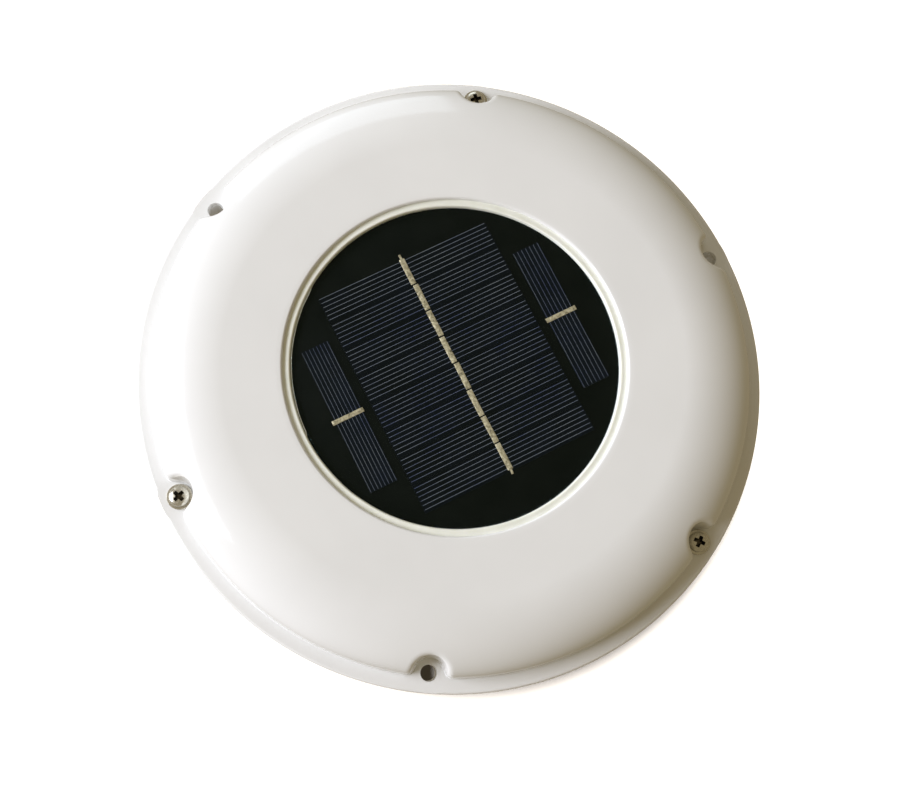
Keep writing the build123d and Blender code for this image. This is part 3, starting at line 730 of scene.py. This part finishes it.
shade(tree, {"Base Color": (milk_tone, "Color"), "Roughness": 0.32, "IOR": 1.43,
             "Subsurface Weight": 0.2, "Subsurface Radius": (0.002, 0.002, 0.0016),
             "Subsurface Scale": 1.0})
dress(seal, silicone, "housing", "silicone", "panel_seal")

# ---- Leads -----------------------------------------------------------------------------------
# Two thin PVC-covered wires run from the board through a plugged slot to the motor tabs, and
# are soft-soldered at both ends. They are hidden once the fan is closed.


def plain_finish(name, low, high, rough, metal, scale_mm, lump_mm, ior=1.5):
    """A small part's finish: two close tones, and a surface that is a little uneven."""
    material, tree, place = new_material(name)
    spots = node(tree, "TexNoise", None, {
        "Vector": (place, "Object"), "Scale": 1 / (scale_mm * MM), "Detail": 4.0})
    tone = node(tree, "ValToRGB", None, {"Fac": (spots, "Fac")})
    set_ramp(tone, [(0.3, low), (0.7, high)])
    worn = node(tree, "MapRange", None, {
        "Value": (spots, "Fac"), "To Min": rough * 0.7, "To Max": rough * 1.3})
    bump = node(tree, "Bump", None, {"Height": (spots, "Fac"), "Distance": lump_mm * MM})
    inputs = {"Base Color": (tone, "Color"), "Roughness": (worn, "Result"),
              "Metallic": metal, "Normal": (bump, "Normal")}
    if metal < 0.5:
        inputs["IOR"] = ior
    shade(tree, inputs)
    return material


def paint(node_name, material):
    """Give a CAD node, which stays as it is, its finished material."""
    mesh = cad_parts[node_name].data
    mesh.materials.clear()
    mesh.materials.append(material)


paint("lead_red", plain_finish("red_pvc", "8E1712", "A51F18", 0.4, 0.0, 1.5, 0.01))
paint("lead_black", plain_finish("black_pvc", "151515", "1F1F1F", 0.4, 0.0, 1.5, 0.01))
paint("solder_joints", plain_finish("soft_solder", "A9A9A6", "C4C4C0", 0.28, 1.0, 0.8, 0.03))
paint("lead_plug", silicone)

# ---- Motor bracket ---------------------------------------------------------------------------
# A three-legged black nylon moulding with a low wall round the motor. Zinc-plated screws hold
# it up to the posts under the cover, and two more hold the motor down on it.
bracket = refine("motor_bracket", "motor_spider", 0.25)
dress(bracket, black_nylon, "housing", "black_nylon", "motor_bracket")
zinc = plain_finish("bright_zinc_plate", "A7ABB0", "C6C9CC", 0.3, 1.0, 0.7, 0.004)
for node_name, name in (("bracket_screws", "spider_screws"), ("motor_screws", "face_screws")):
    screws = refine(node_name, name, 0.08)
    dress(screws, zinc, "housing", "zinc_steel", node_name)

# ---- Motor -----------------------------------------------------------------------------------
# A small brushed direct-current motor in a drawn and plated steel can, closed by a plastic cap
# that carries the brushes, the tabs and the rear bush.
drawn_steel = plain_finish("plated_drawn_steel", "9C9D9E", "B5B6B7", 0.3, 1.0, 2.5, 0.004)
can = refine("motor_can", "motor_shell", 0.1)
dress(can, drawn_steel, "housing", "drawn_steel", "motor_can")
acetal = plain_finish("natural_acetal", "CFCABD", "DAD6CA", 0.42, 0.0, 2.0, 0.01, 1.48)
cap = refine("motor_endcap", "motor_cap", 0.12)
dress(cap, acetal, "housing", "cap_plastic", "motor_endcap")
bronze = plain_finish("sintered_bronze", "7A5A34", "93703F", 0.45, 1.0, 0.4, 0.02)
bare_copper = plain_finish("bare_copper", "A8623F", "C27A52", 0.3, 1.0, 0.6, 0.004)
paint("front_bush", bronze)
paint("rear_bush", bronze)
paint("motor_magnets", plain_finish("sintered_ferrite", "262627", "333335", 0.6, 0.0, 0.6, 0.02))
paint("brushes", bare_copper)
paint("motor_terminals", plain_finish(
    "tinned_brass_tab", "B4B09F", "C9C5B4", 0.3, 1.0, 0.7, 0.006))

# ---- Rotor -----------------------------------------------------------------------------------
# The turning parts of the motor: ground shaft, laminated core, three coils of enamelled wire
# and the commutator. All of them ride on the rotor.
paint("motor_shaft", plain_finish("ground_steel", "B2B3B4", "C4C5C6", 0.18, 1.0, 0.5, 0.001))
paint("armature_core", plain_finish("silicon_steel", "5A5B5E", "6D6E71", 0.4, 1.0, 0.5, 0.01))
paint("armature_coils", plain_finish("enamelled_wire", "7C3416", "A34B22", 0.25, 0.9, 0.3, 0.05))
paint("commutator_sleeve", acetal)
paint("commutator_segments", bare_copper)
paint("hub_insert", plain_finish("turned_brass", "A88A45", "C2A35A", 0.25, 1.0, 0.6, 0.003))

# ---- Fan -------------------------------------------------------------------------------------
# Five cambered blades on a cup-shaped hub, moulded in one piece in off-white polypropylene
# with a waxy sheen. It is pushed onto the shaft by its brass insert.
fan = refine("fan_impeller", "fan_moulding", 0.2)
polypropylene = moulded_plastic(
    "natural_polypropylene", "DEDDD6", "D3D2CA", 0.36, 0.9, 0.006, 1.49)
dress(fan, polypropylene, "rotor", "fan_plastic", "fan_impeller")

# ---- Cover screws and washers ----------------------------------------------------------------
# Stainless pan-head screws with a cross recess, each over a flat stamped washer, hold the cover
# down on every second standoff. The heads are lightly scuffed by the bit that turned them.
HEAD_UNDER = 12.3
HEAD_SHOULDER = HEAD_UNDER + 0.75
HEAD_CROWN = HEAD_UNDER + 2.25
screw_section = (
    [(0, 2.9), (0.5, 2.9), (1.45, 4.4), (1.45, HEAD_UNDER), (3.2, HEAD_UNDER)]
    + arc(3.2, HEAD_UNDER + 0.25, 0.25, 0.25, -90, 0, 3)
    + [(3.45, HEAD_SHOULDER)]
    + arc(2.25, HEAD_SHOULDER, 1.2, 1.1, 0, 70, 8)
    + [(2.2, HEAD_UNDER + 1.93), (1.5, HEAD_UNDER + 2.1), (0.8, HEAD_UNDER + 2.2)]
    + [(0, HEAD_CROWN)]
)
washer_section = (
    [(1.95, 11.55), (1.95, 12.2), (2.05, 12.3), (4.1, 12.3)]
    + arc(4.1, 12.05, 0.25, 0.25, 90, 0, 3)
    + [(4.35, 11.6), (4.3, 11.5), (2.0, 11.5), (1.95, 11.55)]
)
steel, tree, place = new_material("stainless_steel")
scuff = node(tree, "TexNoise", None, {
    "Vector": (place, "Object"), "Scale": 1 / (0.5 * MM), "Detail": 5.0, "Roughness": 0.7})
scuff_tone = node(tree, "ValToRGB", None, {"Fac": (scuff, "Fac")})
set_ramp(scuff_tone, [(0.3, "BDB9AC"), (0.7, "E4E0D2")])
scuff_rough = node(tree, "MapRange", None, {
    "Value": (scuff, "Fac"), "To Min": 0.16, "To Max": 0.34})
scuff_bump = node(tree, "Bump", None, {"Height": (scuff, "Fac"), "Distance": 0.01 * MM})
shade(tree, {"Base Color": (scuff_tone, "Color"), "Metallic": 0.85,
             "Roughness": (scuff_rough, "Result"), "Normal": (scuff_bump, "Normal")})
# The cross recess tapers to half its width and length at the bottom. Each screw stopped at its
# own angle.
CROSS_LONG = 4.6
CROSS_WIDE = 1.5
CROSS_FLOOR = HEAD_UNDER + 0.2
screws, washers = [], []
for (x, y, _), cross in zip(around(HOLE_CIRCLE, 3, 90), (18, 52, 70)):
    screw = turn_section("screw", screw_section, 48, closed=False)
    slots = []
    for turn in (0, 90):
        slot = block(0, 0, CROSS_FLOOR, HEAD_UNDER + 2.6, CROSS_LONG, CROSS_WIDE, turn)
        for vertex in slot.data.vertices:
            if vertex.co.z < (HEAD_UNDER + 1) * MM:
                vertex.co.x *= 0.5
                vertex.co.y *= 0.5
        slots.append(slot)
    for slot in slots:
        combine(screw, [slot], "DIFFERENCE")
    screw.data.transform(Matrix.Rotation(math.radians(cross), 4, "Z"))
    screw.data.transform(Matrix.Translation((x * MM, y * MM, 0)))
    screws.append(screw)
    washer = turn_section("washer", washer_section, 64)
    washer.data.transform(Matrix.Translation((x * MM, y * MM, 0)))
    washers.append(washer)
for group, name, stands_for in (
    (screws, "pan_head_screws", "cover_screws"), (washers, "flat_washers", "screw_washers")):
    deselect()
    for piece in group:
        piece.select_set(True)
    bpy.context.view_layer.objects.active = group[0]
    bpy.ops.object.join()
    joined = bpy.context.object
    joined.name = name
    smooth(joined, 30)
    dress(joined, steel, "housing", "stainless", stands_for)
# Painted shade: the pressed cross and the side of the head get a dark, dull metal finish. It
# stands in for the shade inside the recess and for a dark outline round the head.
painted_shade_wall = plain_finish("painted_shade_recess", "4B463B", "6F685A", 0.45, 1.0, 0.4, 0.01)
heads = bpy.data.objects["pan_head_screws"].data
heads.materials.append(painted_shade_wall)
# Faces inside the cross and on the side of the head take the painted shade.
for face in heads.polygons:
    x, y, z = face.center / MM
    from_axis = min(math.hypot(x - cx, y - cy) for cx, cy, _ in around(HOLE_CIRCLE, 3, 90))
    crown = HEAD_CROWN - 0.07 * from_axis ** 2
    in_cross = from_axis < 2.5 and HEAD_UNDER + 0.1 < z < crown - 0.12
    on_side = from_axis > 3.25 and z < HEAD_SHOULDER
    if in_cross or on_side:
        face.material_index = 1

# ---- Stage, lights and camera ----------------------------------------------------------------
# A plain pale floor under the duct. A large window lights the unit from the left, a weaker one
# from the back, and a soft lamp from below fills the underside. An overhead lamp is for the
# floor alone. The room is dim and warm, so the far side of the dome falls into a tan shade.
FLOOR_RADIUS = 0.8
FLOOR_GAP = 0.0005
deselect()
bpy.ops.mesh.primitive_circle_add(
    vertices=96, radius=FLOOR_RADIUS, fill_type="NGON", location=(0, 0, cad_low.z - FLOOR_GAP))
floor = bpy.context.object
floor.name = "floor"
floor_paint, tree, place = new_material("pale_floor")
mottle = node(tree, "TexNoise", None, {"Vector": (place, "Object"), "Scale": 1 / (60 * MM)})
floor_tone = node(tree, "ValToRGB", None, {"Fac": (mottle, "Fac")})
set_ramp(floor_tone, [(0.3, "605D5A"), (0.7, "63605D")])
matt = node(tree, "BsdfDiffuse", None, {"Color": (floor_tone, "Color")})
# Seen from below the floor is clear, so that the duct and the fan can be looked at.
facing = node(tree, "NewGeometry")
clear = node(tree, "BsdfTransparent")
one_sided = node(tree, "MixShader", None, {
    0: (facing, "Backfacing"), 1: (matt, "BSDF"), 2: (clear, "BSDF")})
node(tree, "OutputMaterial", None, {"Surface": (one_sided, "Shader")})
floor.data.materials.append(floor_paint)
floor.visible_diffuse = False
floor.visible_glossy = False
floor.visible_shadow = False

# The room is dim and warm to the unit, and plain white where the camera looks past it.
world = bpy.data.worlds.new("studio")
bpy.context.scene.world = world
world.use_nodes = True
room = world.node_tree
room.nodes.clear()
seen = node(room, "LightPath")
dim = node(room, "Background", None, {"Color": (0.28, 0.23, 0.14, 1), "Strength": 1.0})
backdrop = node(room, "Background", None, {"Color": (1.0, 1.0, 1.0, 1), "Strength": 1.0})
both = node(room, "MixShader", None, {
    0: (seen, "Is Camera Ray"), 1: (dim, "Background"), 2: (backdrop, "Background")})
node(room, "OutputWorld", None, {"Surface": (both, "Shader")})

# The overhead lamp lights the floor alone, and the others light all but the floor.
just_floor = bpy.data.collections.new("just_floor")
just_floor.objects.link(floor)
all_but_floor = bpy.data.collections.new("all_but_floor")
all_but_floor.objects.link(floor)
all_but_floor.collection_objects[0].light_linking.link_state = "EXCLUDE"


def soft_light(name, azimuth, height, distance, side, power, tint, receivers):
    """A square soft light that faces the unit. Degrees, metres and watts."""
    lamp = bpy.data.lights.new(name, "AREA")
    lamp.shape = "SQUARE"
    lamp.size = side
    lamp.energy = power
    lamp.color = tint
    holder = bpy.data.objects.new(name, lamp)
    bpy.context.scene.collection.objects.link(holder)
    turn, lift = math.radians(azimuth), math.radians(height)
    holder.location = (
        distance * math.cos(lift) * math.cos(turn),
        distance * math.cos(lift) * math.sin(turn),
        distance * math.sin(lift),
    )
    holder.rotation_euler = (-holder.location).to_track_quat("-Z", "Y").to_euler()
    holder.light_linking.receiver_collection = receivers
    return holder


soft_light("window", 186, 28, 4.0, 2.8, 268, (0.87, 0.9, 1.0), all_but_floor)
soft_light("far_window", 112, 15, 4.0, 2.8, 44, (0.8, 0.9, 1.0), all_but_floor)
# The light from below isn't mirrored, or it would draw white lines along the rim.
under_light = soft_light(
    "under_light", 108, -45, 4.0, 2.2, 66, (0.95, 0.97, 1.0), all_but_floor)
under_light.visible_glossy = False
soft_light("overhead", 189, 79.2, 3.0, 0.42, 1100, (1.0, 1.0, 1.0), just_floor)

scene = bpy.context.scene
scene.view_settings.view_transform = "Standard"
eye = Vector((-0.02164, -0.09804, 0.43390))
target = Vector((-0.00036, -0.00931, 0.0115))
back = (eye - target).normalized()
right = Vector((-0.0799, 0.9968, 0.0)).cross(back).normalized()
up = back.cross(right)
camera = bpy.data.objects.new("camera", bpy.data.cameras.new("camera"))
scene.collection.objects.link(camera)
camera.matrix_world = Matrix((right, up, back)).transposed().to_4x4()
camera.location = eye
camera.data.lens = 50
camera.data.sensor_width = 36
camera.data.clip_start = 0.01
camera.data.clip_end = 20
scene.camera = camera
